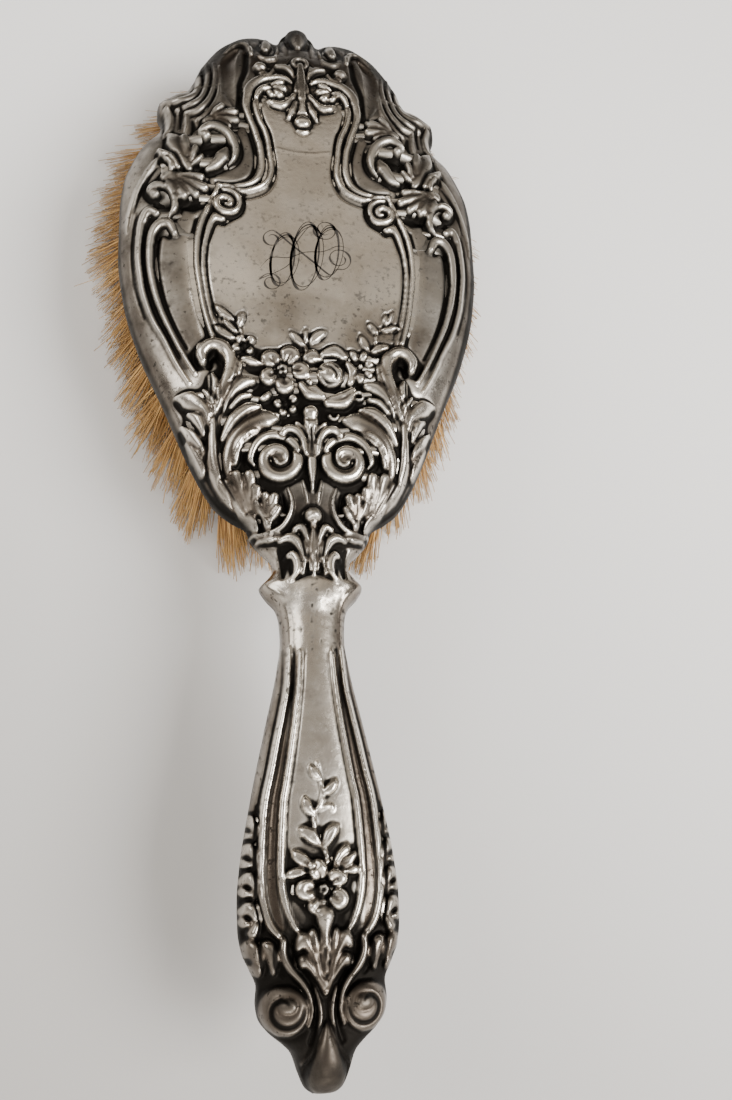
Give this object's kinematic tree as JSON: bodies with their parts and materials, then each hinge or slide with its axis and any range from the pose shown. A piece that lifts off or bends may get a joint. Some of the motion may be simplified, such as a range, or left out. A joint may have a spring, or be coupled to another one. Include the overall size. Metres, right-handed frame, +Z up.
{
  "type": "vanity hairbrush",
  "caption": "Antique vanity hairbrush with an embossed silver back, a flared hollow handle and a wooden block of pale boar bristles.",
  "frame": {"origin": "centre of the bounding box in plan, at the height of the bristle tips on which the brush stands", "axes": "+X to the right across the head, +Y from the handle's tip to the top of the head, +Z up from the bristle tips to the silver back"},
  "size_m": [0.1042, 0.2416, 0.0344],
  "materials": {
    "silver": "polished sterling silver, embossed, with blackened recesses and worn bright high points",
    "block_wood": "varnished close-grained hardwood",
    "board_wood": "bare thin sawn board",
    "pitch": "set pitch filler",
    "steel": "plain forged strap",
    "brass": "drawn wire and plain pins",
    "bristle": "natural blond boar hair, slightly glossy"
  },
  "bodies": {
    "root": {"back_shell": "silver", "handle_rear_shell": "silver", "rim_band": "silver", "bristle_block": "block_wood", "backing_board": "board_wood", "head_filler": "pitch", "handle_filler": "pitch", "handle_tang": "steel", "tang_pin_lower": "brass", "tang_pin_upper": "brass", "bristle_row_01": "bristle", "drawing_wire_01": "brass", "bristle_row_02": "bristle", "drawing_wire_02": "brass", "bristle_row_03": "bristle", "drawing_wire_03": "brass", "bristle_row_04": "bristle", "drawing_wire_04": "brass", "bristle_row_05": "bristle", "drawing_wire_05": "brass", "bristle_row_06": "bristle", "drawing_wire_06": "brass", "bristle_row_07": "bristle", "drawing_wire_07": "brass", "bristle_row_08": "bristle", "drawing_wire_08": "brass", "bristle_row_09": "bristle", "drawing_wire_09": "brass", "bristle_row_10": "bristle", "drawing_wire_10": "brass", "bristle_row_11": "bristle", "drawing_wire_11": "brass", "bristle_row_12": "bristle", "drawing_wire_12": "brass", "bristle_row_13": "bristle", "drawing_wire_13": "brass", "bristle_row_14": "bristle", "drawing_wire_14": "brass"}
  },
  "joints": []
}
